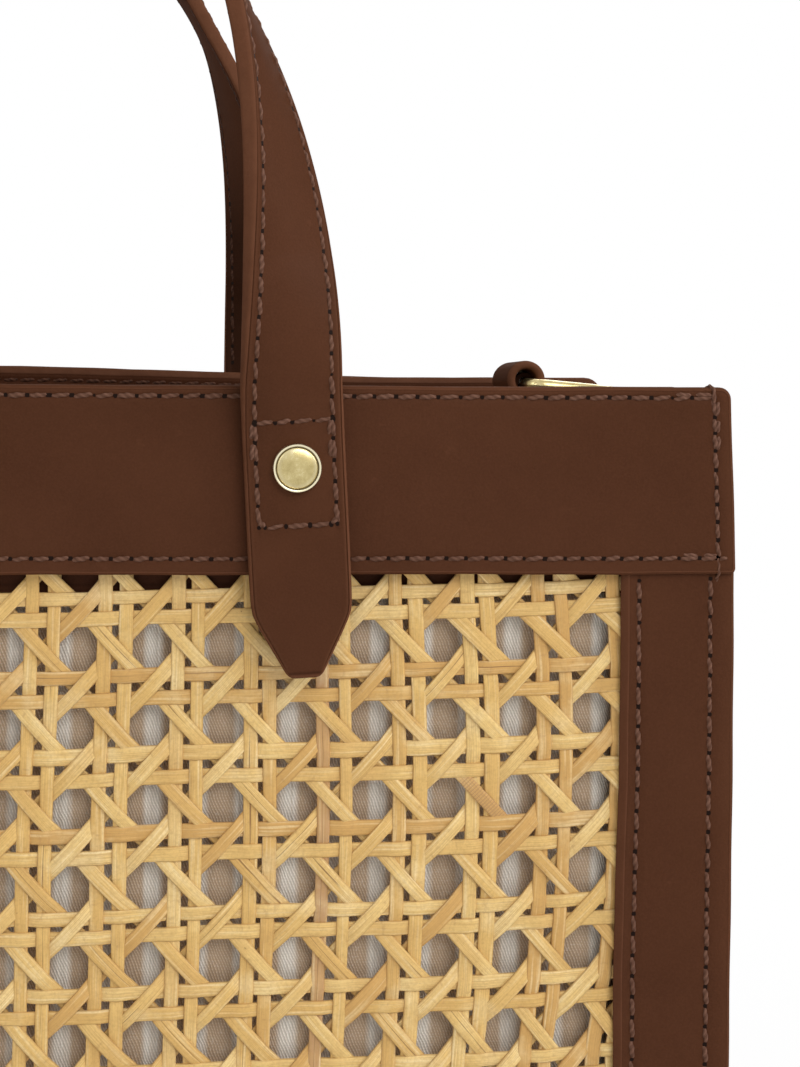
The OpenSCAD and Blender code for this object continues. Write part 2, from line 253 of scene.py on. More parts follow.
def ramp(source, stops):
    tree = source.id_data
    n = tree.nodes.new("ShaderNodeValToRGB")
    points = n.color_ramp.elements
    while len(points) < len(stops):
        points.new(0.5)
    for point, (at, colour) in zip(points, stops):
        point.position = at
        point.color = (*colour, 1.0)
    tree.links.new(source, n.inputs[0])
    return n.outputs[0]


def greys(source, *stops):
    """A ramp of plain values; each stop is a position and a value."""
    return ramp(source, [(at, (value, value, value)) for at, value in stops])


def blend_colour(factor, a, b):
    tree = factor.id_data
    n = tree.nodes.new("ShaderNodeMix")
    n.data_type = "RGBA"
    for socket, value in ((n.inputs[0], factor), (n.inputs[6], a), (n.inputs[7], b)):
        if isinstance(value, tuple):
            socket.default_value = (*value, 1.0)
        else:
            tree.links.new(value, socket)
    return n.outputs[2]


def stain(base, *layers):
    """Lays colours over the base, each as much as a ramp of its source between two stops says."""
    for source, low, high, colour in layers:
        base = blend_colour(greys(source, low, high), base, colour)
    return base


def surface(shader, base, rough, bumps, uniform):
    """Links base colour, roughness and stacked bumps to a shader, and sets its uniform values."""
    tree = base.id_data
    normal = None
    for height, strength, distance in bumps:
        n = node(tree, "Bump", {"Height": height}, Strength=strength, Distance=distance)
        if normal is not None:
            tree.links.new(normal, n.inputs["Normal"])
        normal = n.outputs[0]
    for name, source in (("Base Color", base), ("Roughness", rough), ("Normal", normal)):
        tree.links.new(source, shader.inputs[name])
    for name, value in uniform.items():
        shader.inputs[name].default_value = value


def leather(name, dark, light, edge, gloss):
    """Smooth leather. The mask is up to 1 on worn edges and on painted highlights, 0 on the face, and below
    0 it paints shade in creases and on the back.
    """
    m, t, shader, where = material(name)
    mask = attribute(t, "mask")
    cloud = noise(where, 38.0, 4.0, Roughness=0.6)
    grain = node(t, "TexVoronoi", {"Vector": where}, Scale=1500.0, Randomness=1.0).outputs["Distance"]
    fine = noise(where, 2400.0, 3.0)
    scuff = noise(where, 160.0, 8.0, Roughness=0.72)
    base = ramp(cloud, [(0.3, dark), (0.7, light)])
    base = stain(base, (fine, (0.35, 0.0), (0.75, 0.16), edge),
                 (scuff, (0.62, 0.0), (0.74, 0.3), edge))
    # above 0 the mask lays on the edge colour: wear on the edges, and a painted highlight on the facing's
    # top
    wear_and_highlight = times(mask, greys(scuff, (0.3, 0.55), (0.6, 1.0)), True)
    base = blend_colour(wear_and_highlight, base, edge)
    # below 0 the mask paints shade with a darker brown
    base = blend_colour(times(mask, -1.0, True), base, tuple(0.3 * c for c in dark))
    surface(shader, base, greys(cloud, (0.2, gloss), (0.8, gloss + 0.12)),
            [(cloud, 0.25, 0.0012), (grain, 0.22, 0.00012), (fine, 0.12, 0.00008)],
            {"Specular IOR Level": 0.0, "Coat Weight": 0.045, "Coat Roughness": 0.42})
    t.links.new(shader.inputs["Normal"].links[0].from_socket, shader.inputs["Coat Normal"])
    return m


def thread():
    """Waxed thread. The mask paints light and shade: -1 is the painted shade in a needle hole, about 0
    painted shade between plies and up to 1 a painted highlight on top of one.
    """
    # painted shade: the near black inside a needle hole
    hole = (0.010, 0.0045, 0.0027)
    m, t, shader, where = material("waxed_thread")
    fuzz = noise(where, 2600.0, 3.0)
    drift = noise(where, 120.0, 2.0)
    shade = plus(times(attribute(t, "mask"), 0.5), 0.5)
    base = ramp(shade, [(0.0, hole), (0.25, hole), (0.45, (0.03, 0.011, 0.006)),
                        (0.56, (0.070, 0.030, 0.018)), (0.72, (0.125, 0.060, 0.039)),
                        (0.92, (0.235, 0.130, 0.092))])
    base = stain(base,
                 (fuzz, (0.4, 0.0), (0.8, 0.25), (0.23, 0.125, 0.085)),
                 (drift, (0.4, 0.0), (0.7, 0.3), (0.06, 0.024, 0.014)),
                 (shade, (0.1, 1.0), (0.3, 0.0), hole))
    surface(shader, base, greys(fuzz, (0.3, 0.5), (0.7, 0.7)), [(fuzz, 0.3, 0.0001)],
            {"Specular IOR Level": 0.06})
    return m


def cane():
    """Split cane. The mask is 0 on a plain strand, SPLIT on a cracked and LINED on a cross-lined one."""
    m, t, shader, where = material("cane_strand")
    tint, kind = attribute(t, "tint"), attribute(t, "mask")
    uv = node(t, "SeparateXYZ", {"Vector": node(t, "UVMap").outputs[0]})
    wide, length = uv.outputs[0], uv.outputs[1]

    def stretched(across, along, detail, rough):
        at = node(t, "CombineXYZ", {"X": times(wide, across), "Y": times(length, along),
                                    "Z": times(tint, 37.0)}).outputs[0]
        return noise(at, 1.0, detail, Roughness=rough)

    fibre = stretched(22.0, 0.8, 3.0, 0.65)
    streak = stretched(5.0, 0.5, 2.0, 0.5)
    cross = stretched(1.6, 9.0, 2.0, 0.5)
    patch = noise(where, 80.0, 4.0, Roughness=0.6)
    grit = noise(where, 1500.0, 3.0, Roughness=0.7)
    speck = noise(where, 640.0, 3.0, Roughness=0.7)
    # painted shade: each strand darkens towards both its edges
    rim = math_node("ABSOLUTE", math_node("SUBTRACT", wide, 0.5))
    base = ramp(tint, [(0.0, (0.46, 0.275, 0.155)), (0.2, (0.59, 0.345, 0.112)),
                       (0.5, (0.72, 0.475, 0.162)), (0.75, (0.78, 0.555, 0.218)),
                       (1.0, (0.83, 0.635, 0.32))])
    base = stain(base,
                 (patch, (0.40, 0.0), (0.70, 0.6), (0.60, 0.355, 0.115)),
                 (patch, (0.30, 0.5), (0.46, 0.0), (0.82, 0.66, 0.37)),
                 (fibre, (0.36, 0.6), (0.54, 0.0), (0.47, 0.27, 0.09)),
                 (streak, (0.54, 0.0), (0.72, 0.55), (0.86, 0.70, 0.40)),
                 (cross, (0.62, 0.0), (0.74, 0.3), (0.40, 0.21, 0.085)),
                 (grit, (0.36, 0.28), (0.56, 0.0), (0.45, 0.26, 0.09)),
                 (speck, (0.72, 0.0), (0.78, 0.7), (0.17, 0.065, 0.025)),
                 (rim, (0.43, 0.0), (0.49, 0.4), (0.33, 0.175, 0.065)))
    # a crack wanders along a split strand, open in places
    wander = plus(wide, times(streak, 0.35))
    near = math_node("ABSOLUTE", math_node("SUBTRACT", wander, 0.62))
    split = greys(kind, (0.3, 0.0), (0.5, 1.0), (0.7, 0.0))
    crack = times(split, greys(near, (0.01, 0.8), (0.04, 0.0)))
    crack = times(crack, greys(noise(where, 45.0, 1.0), (0.46, 0.0), (0.56, 1.0)))
    base = blend_colour(crack, base, (0.20, 0.09, 0.035))
    # rungs lie across a lined one
    ladder = math_node("SINE", times(plus(length, times(fibre, 0.03)), 105.0))
    rung = times(greys(kind, (0.7, 0.0), (0.95, 1.0)),
                 plus(0.3, times(0.5, greys(ladder, (0.2, 0.0), (0.8, 1.0)))))
    base = blend_colour(rung, base, (0.40, 0.215, 0.10))
    surface(shader, base, greys(fibre, (0.3, 0.58), (0.7, 0.44)),
            [(fibre, 0.4, 0.00018), (cross, 0.2, 0.00012), (grit, 0.2, 0.00006)],
            {"Specular IOR Level": 0.25})
    return m


def striped_cloth():
    """Twill with stripes. U counts stripes, and V is the height in centimetres."""
    m, t, shader, where = material("striped_twill")
    uv = node(t, "SeparateXYZ", {"Vector": node(t, "UVMap").outputs[0]})
    u, v = uv.outputs[0], uv.outputs[1]
    drift = noise(where, 260.0, 3.0)

    def wave(at, amount):
        return math_node("SINE", times(plus(at, times(drift, amount)), TURN))

    stripe = math_node("FRACT", plus(u, times(math_node("SUBTRACT", drift, 0.5), 0.05)))
    white = greys(stripe, (0.0, 0.0), (0.12, 1.0), (0.38, 1.0), (0.52, 0.0))
    twill = wave(plus(times(u, STRIPE * 1.65), times(v, 6.4)), 1.6)
    weft = wave(times(v, 17.0), 1.5)
    raised = plus(twill, times(weft, 0.25))
    yarn = node(t, "CombineXYZ", {"X": times(u, 26.0), "Y": times(v, 0.25)}).outputs[0]
    slub = noise(yarn, 1.0, 3.0)
    fine = noise(where, 1500.0, 3.0)
    base = blend_colour(white, (0.56, 0.405, 0.27), (0.93, 0.88, 0.80))
    # painted shade in the twill's low parts and a painted highlight on its raised parts
    base = stain(base,
                 (slub, (0.35, 0.35), (0.6, 0.0), (0.48, 0.37, 0.275)),
                 (raised, (0.0, 0.36), (0.7, 0.0), (0.25, 0.185, 0.13)),
                 (raised, (0.72, 0.0), (1.0, 0.2), (0.95, 0.90, 0.82)),
                 (fine, (0.55, 0.0), (0.8, 0.22), (0.90, 0.87, 0.82)))
    surface(shader, base, greys(fine, (0.3, 0.82), (0.7, 0.95)),
            [(raised, 0.4, 0.0002), (fine, 0.3, 0.00012)],
            {"Specular IOR Level": 0.1, "Sheen Weight": 0.1})
    return m


def brass():
    """Brushed brass. The mask paints a highlight above 0, up to 1 on the rim, and paints shade below 0, in
    the groove.
    """
    m, t, shader, where = material("brushed_brass")
    stretched = node(t, "Mapping", {"Vector": where}, Scale=(900.0, 2600.0, 2600.0)).outputs[0]
    brush = noise(stretched, 1.0, 4.0, Roughness=0.6)
    patina = noise(where, 420.0, 6.0, Roughness=0.7)
    mask = attribute(t, "mask")
    base = ramp(patina, [(0.3, (0.42, 0.33, 0.14)), (0.55, (0.58, 0.475, 0.225)),
                         (0.75, (0.82, 0.71, 0.42))])
    # above 0 the mask paints a highlight, below 0 it paints shade
    base = blend_colour(times(mask, 0.7, True), base, (0.95, 0.88, 0.66))
    base = blend_colour(times(mask, -1.0, True), base, (0.10, 0.07, 0.03))
    surface(shader, base, greys(patina, (0.3, 0.36), (0.7, 0.2)),
            [(brush, 0.12, 0.00006), (patina, 0.15, 0.00008)], {"Metallic": 1.0})
    return m


def fibreboard():
    m, _, shader, where = material("grey_board")
    pulp = noise(where, 700.0, 5.0, Roughness=0.7)
    base = ramp(pulp, [(0.3, (0.20, 0.17, 0.13)), (0.7, (0.32, 0.28, 0.22))])
    surface(shader, base, greys(pulp, (0.3, 0.8), (0.7, 0.95)), [(pulp, 0.3, 0.0002)], {})
    return m


LEATHER = leather("brown_leather", (0.0602, 0.0220, 0.0104), (0.0729, 0.0272, 0.0131),
                  (0.125, 0.050, 0.026), 0.55), "leather"
# a darker copy of the brown leather: painted shade for the pieces that sit inside the bag
LEATHER_SHADED = leather("brown_leather_inside_painted_shade", (0.044, 0.0150, 0.0072), (0.054, 0.0190, 0.0090),
                     (0.10, 0.041, 0.022), 0.6), "leather_inner"
THREAD, CANE = (thread(), "leather"), (cane(), "cane")
CLOTH, BRASS = (striped_cloth(), "lining"), (brass(), "brass")
BOARD = fibreboard()


# Leather panels

def wobble(x, z, seed):
    """How far a hand-cut edge strays."""
    return 0.10 * np.sin(x * 0.087 + z * 0.05 + seed) + 0.05 * np.sin(x * 0.29 - z * 0.23 + 2.1 * seed)


def loop_points(x0, x1, z0, z1, radii, nx, nz):
    """A closed outline with rounded corners, from the bottom right one."""
    corners = [(x1, z0, -1, 1, -90), (x1, z1, -1, -1, 0), (x0, z1, 1, -1, 90), (x0, z0, 1, 1, 180)]
    arcs = []
    for (cx, cz, sx, sz, start), r in zip(corners, radii):
        a = np.radians(np.linspace(start, start + 90, 7))
        arcs.append(np.stack([cx + sx * r + r * np.cos(a), cz + sz * r + r * np.sin(a)], 1))
    points = []
    for k, count in enumerate((nz, nx, nz, nx)):
        t = np.linspace(0, 1, count + 2)[1:-1, None]
        points += [arcs[k], arcs[k][-1] * (1 - t) + arcs[(k + 1) % 4][0] * t]
    return np.concatenate(points)


def slab(shape, box, face, back, radii, rows, place, seed=0.0, roll=(0.6, 0.6, 0.6, 0.6), wear_and_highlight=0.4):
    """A cut panel with rolled edges, a crease along them and a slight valley under each stitch row.
    box is x0, x1, z0, z1; radii run bottom right, top right, top left, bottom left; rows and the
    width of the rolled edge run left, right, bottom, top."""
    x0, x1, z0, z1 = box
    s = 1.0 if face > back else -1.0
    t = abs(face - back)
    rows, roll = np.array(rows), np.array(roll)
    # from the back round the edge to the face: inset, level and mask; masks below 0 paint shade in the
    # crease and in the valley under each stitch row
    rings = [(np.full(4, 0.35), back, 0.6), (np.zeros(4), back + s * 0.25 * t, 0.6),
             (np.zeros(4), face - s * min(0.8, 0.5 * t), wear_and_highlight + 0.1), (roll / 3, face - s * 0.3, wear_and_highlight),
             (roll * 0.85, face - s * 0.05, wear_and_highlight), (roll, face, 0.85),
             (roll + 0.16, face - s * 0.07, -0.06), (roll + 0.4, face, 0.12),
             (rows - 0.55, face, 0.0), (rows, face - s * 0.2, -0.25), (rows + 0.6, face, 0.0),
             (rows + 2.2, face + s * 0.03, 0.0)]
    nx, nz = max(2, int((x1 - x0) / 5)), max(2, int((z1 - z0) / 5))
    v, mask = [], []
    for inset, w, m in rings:
        r = [max(0.25, radius - float(np.max(inset))) for radius in radii]
        p = loop_points(x0 + inset[0], x1 - inset[1], z0 + inset[2], z1 - inset[3], r, nx, nz)
        shift = wobble(p[:, 0], p[:, 1], seed)
        v.append(np.stack([p[:, 0] + shift, np.full(len(p), w), p[:, 1] + 0.8 * shift], 1))
        mask.append(np.full(len(p), m))
    n, m = len(v), len(v[0])
    faces = grid_faces(n, m) + end_faces(n, m)
    shape.add(place(np.concatenate(v)), faces, None, np.concatenate(mask))


def panel(name, look, replaces, *cut):
    """A piece made of one slab."""
    shape = Shape()
    slab(shape, *cut)
    make(name, shape, look, replaces, sharp=50)


# Stitches

RINGS = np.array([0.0, 0.06, 0.16, 0.27, 0.38, 0.5, 0.62, 0.73, 0.84, 0.94, 1.0])
SIDES = circle(8)


def stitches(shape, starts, ends, outs, slant=0.2, radius=0.46, holes=True, lift=0.1, dim=0.0):
    """Twisted thread from hole to hole, with a dark disc at each start and after the last that paints the
    shade in a needle hole.
    """
    starts, ends, outs = (np.asarray(a, float).reshape(-1, 3) for a in (starts, ends, outs))
    span = np.linalg.norm(ends - starts, axis=1)
    along = unit(ends - starts)
    outs = unit(outs - along * np.sum(outs * along, 1, keepdims=True))
    lateral = np.cross(outs, along)
    n, a = len(starts), RINGS
    lean = slant * (1 + 0.4 * rng.standard_normal(n))
    fat = radius * (1 + 0.07 * rng.standard_normal(n))
    twist = 2 * np.pi * rng.random(n)
    high = lift + 0.05 * rng.standard_normal(n)
    rise = np.sin(np.pi * a) ** 0.55
    reach = 0.05 + 0.9 * a
    c = (starts[:, None] + along[:, None] * (span[:, None] * reach)[..., None]
         + lateral[:, None] * (lean[:, None] * (2 * a - 1))[..., None]
         + outs[:, None] * (-0.42 + (high + 0.42)[:, None] * rise)[..., None])
    turn = twist[:, None] + 2 * np.pi * span[:, None] * a / 3.6
    lobe = np.cos(2 * (SIDES[None, None] - turn[..., None]))
    slim = 0.7 + 0.3 * np.sin(np.pi * a) ** 0.5
    r = fat[:, None, None] * slim[None, :, None] * (1 + 0.13 * lobe)
    v = (c[:, :, None] + lateral[:, None, None] * (r * np.cos(SIDES))[..., None] * 1.08
         + outs[:, None, None] * (r * np.sin(SIDES))[..., None])
    m = len(a) * len(SIDES)
    faces = np.array(grid_faces(len(a), len(SIDES))) + (np.arange(n) * m)[:, None, None]
    # the mask paints a highlight on top of each ply, and shade between plies, towards the ends and on rows
    # given dim
    ply_light_and_shade = 0.38 + 0.2 * lobe - 0.3 * (1 - slim)[None, :, None] - dim
    shape.add(v, faces.reshape(-1, 4).tolist(), None, ply_light_and_shade)
    # dark discs that paint the shade in the needle holes
    if holes:
        at, d = np.concatenate([starts, ends[-1:]]), circle(10)
        out, front, aside = (np.concatenate([w, w[-1:]])[:, None] for w in (outs, along, lateral))
        size = 0.5 * (1 + 0.16 * rng.standard_normal(n + 1))[:, None]
        disc = (at[:, None] + out * 0.12 + front * (size * np.cos(d))[..., None] * 0.9
                + aside * (size * np.sin(d))[..., None] * 1.2)
        k = len(d)
        shape.add(disc, [[i * k + j for j in range(k)] for i in range(n + 1)], None, -1.0)


def row(shape, points, outs, pitch=4.0, double=(), **how):
    """A stitch row along a path. double lists the stitches that are sewn twice."""
    p = np.asarray(points, float)
    o = np.broadcast_to(np.asarray(outs, float), p.shape)
    s = lengths(p)
    count = max(1, int(round(s[-1] / pitch)))
    t = np.linspace(0, s[-1], count + 1)
    t[1:-1] += 0.12 * rng.standard_normal(count - 1)
    q, n = pick(t, s, p), pick(t, s, o)
    mid = unit(n[:-1] + n[1:])
    stitches(shape, q[:-1], q[1:], mid, **how)
    for k in (k % count for k in double):
        along = unit(q[k + 1] - q[k])
        lateral = np.cross(mid[k], along) * 0.66
        again = dict(how, holes=False, slant=-0.12, lift=0.16, radius=0.4)
        first, last = q[k] + lateral + along * 0.3, q[k + 1] + lateral + along * 0.2
        stitches(shape, [first], [last], [mid[k]], **again)


def tie(shape, points, radius):
    """The end of a thread, taken over an edge."""
    path = soften(resample(points, 0.35), 4)
    along = heading(path)
    across = unit(np.cross(along, np.array([1.0, 0.0, 0.0])))
    lobe = np.cos(2 * (SIDES[None] - np.linspace(0, 9, len(path))[:, None]))
    r = radius * (1 + 0.25 * lobe)
    section = np.stack([r * np.cos(SIDES), r * np.sin(SIDES)], -1)
    # the mask paints a highlight on each ply and shade between them
    sweep(shape, path, across, unit(np.cross(along, across)), section, 0.34 + 0.22 * lobe)


# The thread's ends at a band's corner, as steps from an edge: over the top one, and past the lower one
TAILS = ((TOP, 0.4, ((-0.2, 57.5, -3.0), (0.0, 57.85, -1.5), (-0.1, 57.7, -0.4), (-0.25, 57.0, 0.22),
                     (-0.5, 56.0, 0.3), (-0.7, 55.2, 0.15), (-0.8, 54.7, -0.5))),
         (BAND["z0"], 0.3, ((0.0, 57.3, BAND_LOW_IN), (0.1, 57.5, 1.4), (0.2, 57.45, 0.3),
                            (0.1, 56.9, -0.15), (0.0, 56.4, -0.9), (-0.1, 56.1, -1.5))))


def panel_side(side):
    """The leather of one panel, with its stitches: band, facing, borders and the cane's backing, whose
    darker leather paints the shade under the band.
    """
    tag = NAMES[side]
    out = np.array([0.0, side, 0.0])

    def place(p):
        p = np.asarray(p, float)
        lean = np.interp(p[:, 2], [BAND["z0"], TOP], [0.5, -0.9 if side == FRONT else 0.5])
        crown = np.zeros(len(p))
        if side == REAR:
            # the rear wall's top edge is crowned
            crown = 1.15 * (1 + np.cos(np.pi * np.clip((p[:, 0] + 25) / 110, -1, 1))) - 0.4
        crown = crown * past(p[:, 2], 178, TOP - 178)
        return out_to(side, p + np.stack([p[:, 0] / BAND["x"] * lean, 0 * lean, crown], 1))

    def skew(p):
        """Side borders grow a little wider towards the bottom."""
        p = np.asarray(p, float)
        share = (np.abs(p[:, 0]) - BORDER["x0"]) / (BORDER["x1"] - BORDER["x0"])
        shift = np.interp(p[:, 2], [45, 75, 112, 152], [-0.8, -0.7, 0.1, 0.0]) * (1 - share)
        return out_to(side, p + np.stack([np.sign(p[:, 0]) * shift, 0 * shift, 0 * shift], 1))

    def line(a, b, face, where=place):
        level = face - SEAM_DEPTH
        return where(resample([(a[0], level, a[1]), (b[0], level, b[1])], 4.0))

    corner = 2.4 if side == FRONT else 4.5
    panel(tag + "_band", LEATHER, [tag + "_top_band"],
          (-BAND["x"], BAND["x"], BAND["z0"], TOP), BAND["face"], PANEL,
          (1.2, corner, corner, 1.2), (BAND_END_IN, BAND_END_IN, BAND_LOW_IN, BAND_TOP_IN), place, 0.4)
    # the facing's edge mask of 1.0 paints a highlight on its rounded top
    panel(tag + "_facing", LEATHER_SHADED, [tag + "_band_facing"],
          (-FACING["x"], FACING["x"], FACING["z0"], TOP), FACING["face"], PANEL - 0.02,
          (1.0, 1.5, 1.5, 1.0), (3.0, 3.0, 2.4, 3.0), place, 1.3, (0.6, 0.6, 0.6, 1.5), 1.0)
    for flip, name in ENDS:
        panel(f"{tag}_{name}_side_border", LEATHER, [f"{tag}_{name}_border"],
              (BORDER["x0"], BORDER["x1"], 0.0, BAND["z0"] + 6.0), BORDER["face"], PANEL,
              (3.0, 0.6, 0.6, 1.0), (3.6, BORDER["x1"] - SEAM_OUT, 3.6, 2.4),
              lambda p, flip=flip: skew(p) * np.array([flip, 1.0, 1.0]),
              2.0 + flip, (1.5, 0.6, 0.6, 0.6))
    panel(tag + "_low_border", LEATHER, [tag + "_bottom_border"],
          (-BORDER["x0"], BORDER["x0"], 0.0, BOTTOM_H), BORDER["face"], PANEL,
          (0.6, 1.0, 1.0, 0.6), (1.6, 1.6, 3.6, 3.6), place, 3.1, (0.6, 0.6, 0.6, 1.5))
    # the backing strip's darker leather paints the shade under the band
    panel(tag + "_cane_shaded_backing", LEATHER_SHADED, (), SHADED_BACKING, *SHADED_BACKING_Y,
          (1.0, 0.6, 0.6, 1.0), (2.0,) * 4, lambda p: out_to(side, p), 2.6)

    sewn = Shape()
    face, border_face = BAND["face"], BORDER["face"]
    top_z, low_z, end_x = TOP - BAND_TOP_IN, BAND["z0"] + BAND_LOW_IN, BAND["x"] - BAND_END_IN
    slant = -0.2 * side
    for z, pitch in ((top_z, 4.3), (low_z, 3.95)):
        row(sewn, line((-end_x, z), (end_x, z), face), out, pitch, double=(0, 1, -1, -2), slant=slant)
    for flip, _ in ENDS:
        x, edge = flip * end_x, BAND["z0"]
        row(sewn, line((x, top_z), (x, low_z), face), out, 3.6, double=(0, 1, 2))
        columns = ((SEAM_OUT, edge - 1.0, SEAM_LOW, 3.95), (SEAM_IN, edge - 1.4, SEAM_HIGH, 4.3))
        for column, start, stop, pitch in columns:
            seam = line((flip * column, start), (flip * column, stop), border_face, skew)
            row(sewn, seam, out, pitch)
        if side == FRONT:
            # the thread's ends, and one stitch past the corner
            for level, radius, steps in TAILS:
                tie(sewn, place([(x + a, y, level + b) for a, y, b in steps]), radius)
            tail = line((x, low_z), (x + flip * 2.2, low_z), face)
            stitches(sewn, tail[:1], tail[-1:], [out], radius=0.38)
    for x, z in ((SEAM_IN, SEAM_HIGH), (SEAM_OUT, SEAM_LOW)):
        row(sewn, line((-x, z), (x, z), border_face), out, slant=slant)
    x = FACING["x"] - 3.0
    for z in (TOP - 3.0, FACING["z0"] + 2.4):
        seam = line((-x, z), (x, z), FACING["face"] + 0.34)
        # painted shade darkens the facing's rows, which lie in shadow inside
        row(sewn, seam, -out, 4.3, lift=0.0, dim=0.4, holes=False)
    make(tag + "_panel_stitches", sewn, THREAD)


# Cane webbing

def webbing(side):
    """Paired upright and level strands, and single diagonal ones that pass over and under the pairs."""
    tag = NAMES[side]
    shape = Shape()
    seed = 0.0 if side == FRONT else 4.0
    section = np.array([(-0.5, -0.5), (-0.5, 0.16), (-0.46, 0.36), (-0.3, 0.47), (0.0, 0.5),
                        (0.3, 0.47), (0.46, 0.36), (0.5, 0.16), (0.5, -0.5)])

    def warp(x, z):
        """The weave's drift away from a true grid."""
        a = np.clip((x * -side - 50) / 50, -1.0, 1.4)
        b = np.clip((z - 100) / 40, -1.2, 1.2)
        dx = 0.74 + 0.33 * a + 0.3 * b - 0.77 * b * b + 0.7 * a * a * b - 1.08 * a * b * b
        dz = 0.53 * a + 0.17 * b + 0.67 * a ** 3
        return (x - side * dx + 0.1 * np.sin(z / 9.3 - x / 17 + seed),
                z + dz + 0.1 * np.sin(x / 11 + z / 19 + 2 * seed))

    def strand(x, z, h, shade, kind=None):
        """One strand along x and z, h above the middle of the weave."""
        off = 0.20 * rng.standard_normal()
        wide = STRAND * (1.0 + 0.05 * rng.standard_normal())
        chance = rng.random()
        if kind is None:
            kind = SPLIT if chance < 0.09 else 0.0
        x, z = warp(x, z)
        path = np.stack([x, z], 1)
        along = heading(path)
        across = np.stack([along[:, 1], -along[:, 0]], 1)
        path = path + across * off
        keep = (np.abs(path[:, 0]) < CANE_HALF) & (path[:, 1] > CANE_LOW) & (path[:, 1] < CANE_HIGH)
        if keep.sum() < 4:
            return
        path, across, h = path[keep], across[keep], h[keep]
        n, m = len(path), len(section)
        width = wide * (1 + 0.03 * np.sin(np.arange(n) * 0.21 + 6 * rng.random()))
        roll = 0.12 * np.sin(np.arange(n) * 0.13 + 6 * rng.random())
        u = section[None, :, 0] * width[:, None]
        o = CANE_MID + h[:, None] + section[None, :, 1] * STRAND_T + roll[:, None] * section[None, :, 0]
        flat = path[:, None] + u[..., None] * across[:, None]
        v = np.stack([flat[..., 0], o, flat[..., 1]], -1)
        s = lengths(path) * 0.1 + 50 * rng.random()
        uv = np.stack(np.broadcast_arrays(section[None, :, 0] + 0.5, s[:, None]), -1)
        faces = grid_faces(n, m) + end_faces(n, m)
        kind = np.repeat(kind[keep], m) if np.ndim(kind) else kind
        shape.add(out_to(side, v), faces, uv, kind, np.clip(shade, 0.0, 1.0))

    def cross(at, cell):
        """How far a strand rises and sinks at the crossings, which lie at whole numbers of cells."""
        q = (at - np.round(at)) * cell
        return np.where(np.abs(q) < PAIR, np.sin(np.pi * q / PAIR), 0.0) * 0.36

    def tone(mean):
        """A strand's place on the cane's scale of colours; a few are darker."""
        value = mean + 0.2 * rng.standard_normal()
        return max(0.2, value - 0.3 if rng.random() < 0.06 else value)

    z = np.arange(9.0, 163.0, 1.4)
    h = cross((z - ROW_TOP - CELL_Z / 2) / CELL_Z, CELL_Z)
    for k in range(-9, 9):
        for half in (-1.0, 1.0):
            # a pinkish strand and the orange one along the border
            shade = {(3, -1.0): 0.02, (7, -1.0): 0.2}.get((k, half), tone(0.55))
            strand(np.full(len(z), (k + 0.5) * CELL_X + half * PAIR / 2), z, -half * h, shade)
    x = np.arange(-121.0, 121.0, 1.4)
    h = cross(x / CELL_X - 0.5, CELL_X)
    for k in range(-9, 3):
        for half in (-1.0, 1.0):
            level = ROW_TOP + (k + 0.5) * CELL_Z + half * PAIR / 2
            # one dark strand, split along its length
            mean, kind = (0.25, SPLIT) if (k, half) == (-1, 1.0) else (0.55, None)
            strand(x, np.full(len(x), level), half * h, tone(mean), kind)
    a = np.arange(-8.6, 8.6, 1.0 / 14)
    wave = np.tanh(2.0 * np.cos(2 * np.pi * a)) / np.tanh(2.0) * 0.7
    for k in range(-20, 12):
        # one strand is cross-lined for a short way
        kind = np.where(np.abs(a - 5.65) < 0.4, LINED, 0.0) if k == 3 else None
        strand(a * CELL_X, ROW_TOP + (k + 0.5 - a) * CELL_Z, -wave, tone(0.58), kind)
        strand(a * CELL_X, ROW_TOP + (k + 0.5 + a) * CELL_Z, wave, tone(0.60))
    make(tag + "_webbing", shape, CANE, [tag + "_cane_panel"], sharp=60)


# Handles

def strap_half(z):
    """Half the strap's width at a height: full above the taper, which ends in a blunt tip."""
    taper = (STRAP_HALF - TIP_HALF) / (TAB_TAPER - TAB_TIP)
    d = TAB_TAPER - z
    smooth = 0.5 * (d + np.sqrt(d * d + 2.0))
    half = STRAP_HALF - taper * np.where(d > -12, smooth, 0)
    tip = past(z, TAB_TIP, 1.3)
    return np.minimum(half, STRAP_HALF) * (0.72 + 0.28 * np.sqrt(1 - (1 - tip) ** 2))


def strap_path(foot, lean, rise, bow, peak, turn_from, turn_over):
    """Centre, across, out, half width and height along a handle, in panel coordinates. foot and lean
    place the legs, bow and peak round the arch, and the strap turns edge on over a height."""
    z = np.r_[TAB_TIP + np.array([0, 0.15, 0.5, 1.0]), np.arange(TAB_TIP + 1.6, TOP - 0.5, 1.6)]
    leg = np.stack([foot + lean * (TOP - z), np.full(len(z), STRAP_MID), z], 1)
    t = np.radians(np.linspace(0, 180, 721))
    c, s = np.cos(t), np.clip(np.sin(t), 0, 1)
    x = foot * np.where(c > 0, np.abs(c) ** bow[0], -np.abs(c) ** bow[1])
    arch = np.stack([x, np.full(len(t), STRAP_MID), TOP + rise * s ** peak], 1)
    arch = soften(resample(arch, 1.6), 8)
    centre = np.concatenate([leg, arch, leg[::-1] * np.array([-1.0, 1.0, 1.0])])
    height = centre[:, 2]
    along = heading(centre)
    along = np.where((height < turn_from)[:, None], along, unit(soften(along, 6)))
    away = unit(np.stack([along[:, 2], 0 * height, -along[:, 0]], 1))
    turn = soften(np.radians(90) * past(height, turn_from, turn_over)[:, None], 10)[:, 0]
    flat = np.array([0.0, 1.0, 0.0])
    out = np.cos(turn)[:, None] * flat + np.sin(turn)[:, None] * away
    # the strap stands off where its turned edge passes the band
    clear = STRAP_HALF * np.sin(turn) * np.clip(1 - (height - TOP - 1) / 25, 0, 1)
    centre = centre + clear[:, None] * flat
    return centre, unit(np.cross(along, out)), unit(out), strap_half(height), height


